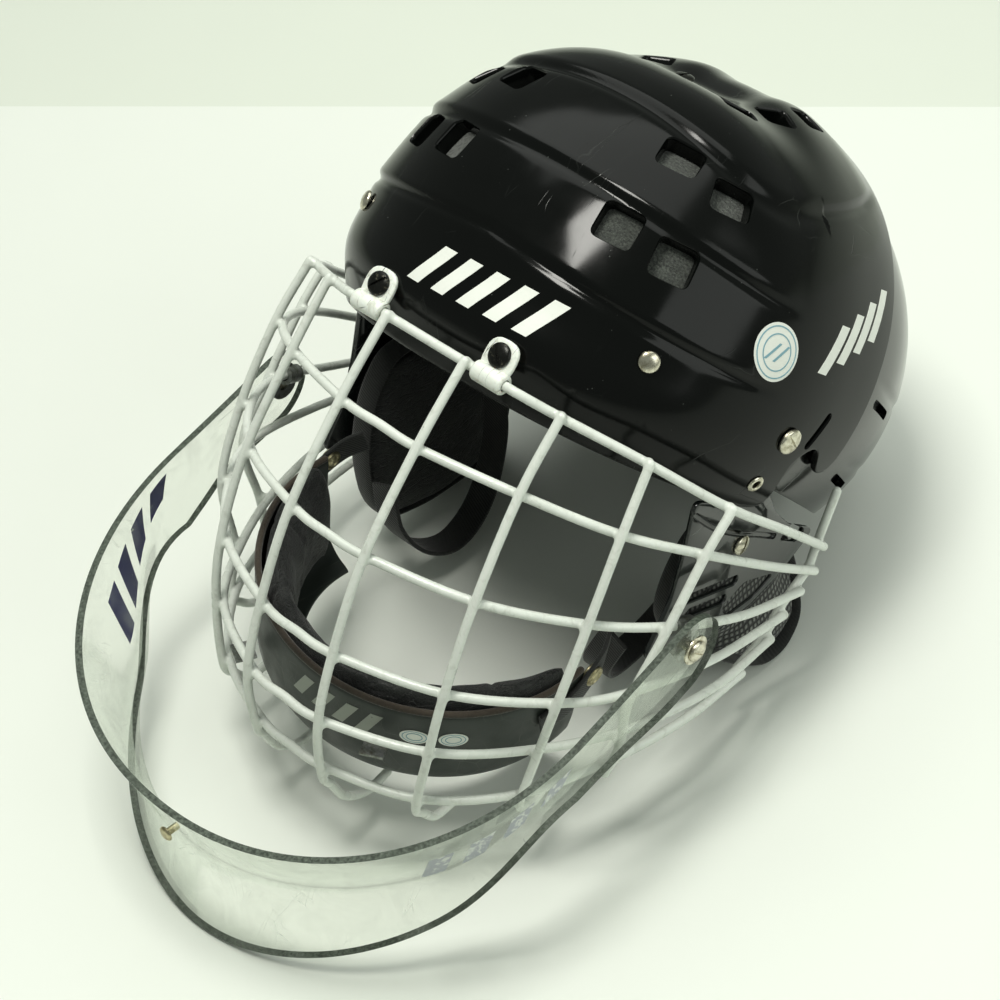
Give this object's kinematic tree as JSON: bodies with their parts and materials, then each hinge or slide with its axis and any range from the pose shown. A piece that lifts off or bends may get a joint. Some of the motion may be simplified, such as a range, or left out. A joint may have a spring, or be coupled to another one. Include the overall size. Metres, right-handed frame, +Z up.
{
  "type": "hockey helmet with face cage",
  "caption": "Hard-shell hockey helmet with a hinged wire face cage, padded chin cup and a clear swinging throat guard.",
  "frame": {"origin": "middle of the footprint, on the surface the helmet rests on", "axes": "+Z up from that surface, -Y the way the face looks, +X the wearer's left"},
  "size_m": [0.2452, 0.4037, 0.2405],
  "materials": {
    "shell_black": "gloss, finely scratched",
    "liner_foam": "foam faced with grey speckled felt",
    "pad_leather": "creased black leather",
    "nickel": "nickel plated, worn",
    "dull_steel": "satin",
    "smoked_plastic": "gloss",
    "mesh_pad": "woven mesh with a black binding",
    "webbing": "matte",
    "white_vinyl": "satin",
    "black_screw": "satin",
    "cage_coating": "satin coating",
    "cup_plastic": "satin",
    "clear_sheet": "clear, finely scratched"
  },
  "bodies": {
    "helmet": {"front_shell": "shell_black", "front_liner": "liner_foam", "brow_pad": "pad_leather", "ear_guard_left": "smoked_plastic", "ear_guard_right": "smoked_plastic", "ear_pad_left": "mesh_pad", "ear_pad_right": "mesh_pad", "ear_strap_left": "webbing", "ear_strap_right": "webbing", "adjust_screw_left": "nickel", "adjust_screw_right": "nickel", "adjust_nut_left": "nickel", "adjust_nut_right": "nickel", "ear_guard_screw_left": "nickel", "ear_guard_screw_right": "nickel", "eyelet_left": "nickel", "eyelet_right": "nickel", "dome_rivets": "nickel", "crown_screw": "dull_steel", "brow_clip_left": "white_vinyl", "brow_clip_right": "white_vinyl", "brow_screw_left": "black_screw", "brow_screw_right": "black_screw"},
    "rear": {"rear_shell": "shell_black", "rear_liner": "liner_foam", "nape_pad": "pad_leather"},
    "cage": {"bar_1": "cage_coating", "bar_2": "cage_coating", "bar_3": "cage_coating", "bar_4": "cage_coating", "bar_5": "cage_coating", "bar_6": "cage_coating", "upright_left_1": "cage_coating", "upright_left_2": "cage_coating", "upright_left_3": "cage_coating", "upright_left_4": "cage_coating", "upright_right_1": "cage_coating", "upright_right_2": "cage_coating", "upright_right_3": "cage_coating", "upright_right_4": "cage_coating", "side_rail_left": "cage_coating", "side_rail_right": "cage_coating", "chin_cup": "cup_plastic", "chin_pad": "pad_leather", "chin_clip_left": "dull_steel", "chin_clip_right": "dull_steel", "guard_clamp_left": "dull_steel", "guard_clamp_right": "dull_steel"},
    "guard": {"throat_guard": "clear_sheet", "guard_stud": "nickel", "guard_screw_left": "nickel", "guard_screw_right": "nickel"}
  },
  "joints": [
    {"name": "cage_flip", "type": "hinge", "parent": "helmet", "child": "cage", "pos_m": [0, -0.0285, 0.1951], "axis": [-1, 0, 0], "range_deg": [0, 90]},
    {"name": "guard_swing", "type": "hinge", "parent": "cage", "child": "guard", "pos_m": [0, -0.0212, 0.09395], "axis": [-1, 0, 0], "range_deg": [0, 55]},
    {"name": "size_adjust", "type": "slide", "parent": "helmet", "child": "rear", "axis": [0, 0.6704, -0.742], "range_m": [-0.008, 0]}
  ]
}
